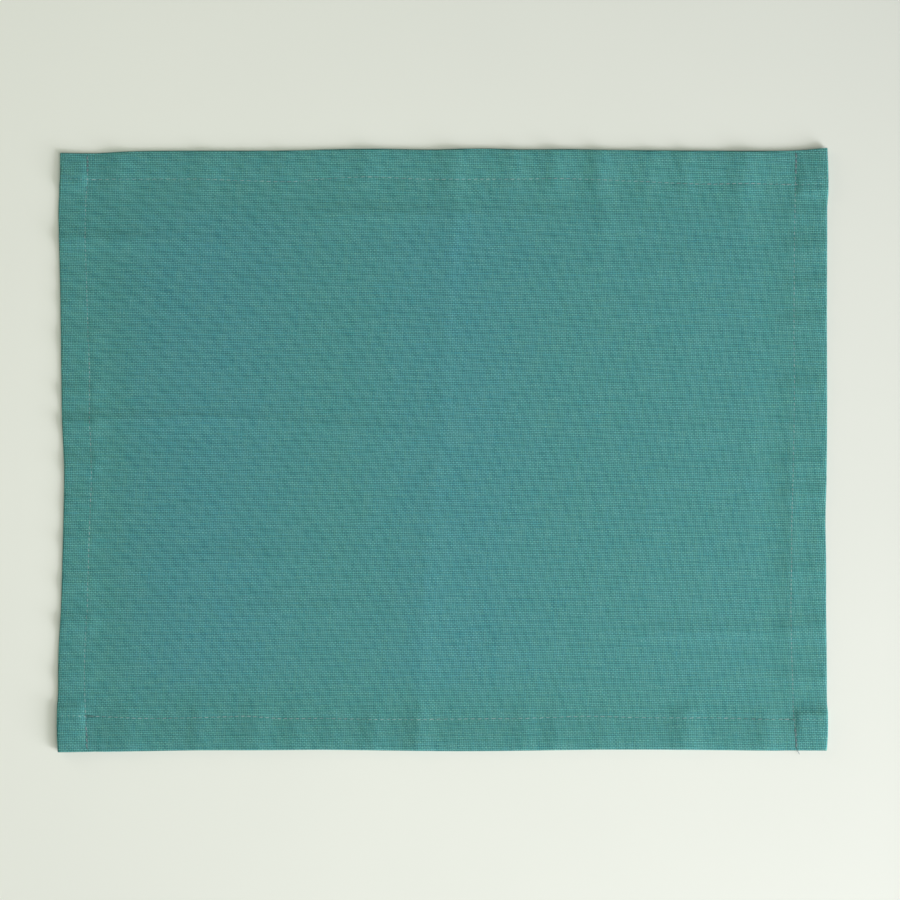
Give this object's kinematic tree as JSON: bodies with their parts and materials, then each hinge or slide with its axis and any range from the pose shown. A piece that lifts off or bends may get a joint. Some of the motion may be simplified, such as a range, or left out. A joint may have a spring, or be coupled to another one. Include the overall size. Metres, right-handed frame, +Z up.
{
  "type": "fabric placemat",
  "caption": "Rectangular woven cloth placemat with a double-turned hem on every side, lying flat on a table to set a plate and cutlery on.",
  "frame": {"origin": "on the surface that the mat lies on, under the middle of its box", "axes": "+X along the mat's length, to the right as it is seen from the diner's seat; +Y across its width, away from the diner; +Z up, out of its face side"},
  "size_m": [0.4508, 0.3534, 0.0038],
  "materials": {
    "woven_cotton": "matt plain-woven cotton, dyed teal, with small slubs in the yarn"
  },
  "bodies": {
    "root": {"hemmed_cloth": "woven_cotton"}
  },
  "joints": []
}
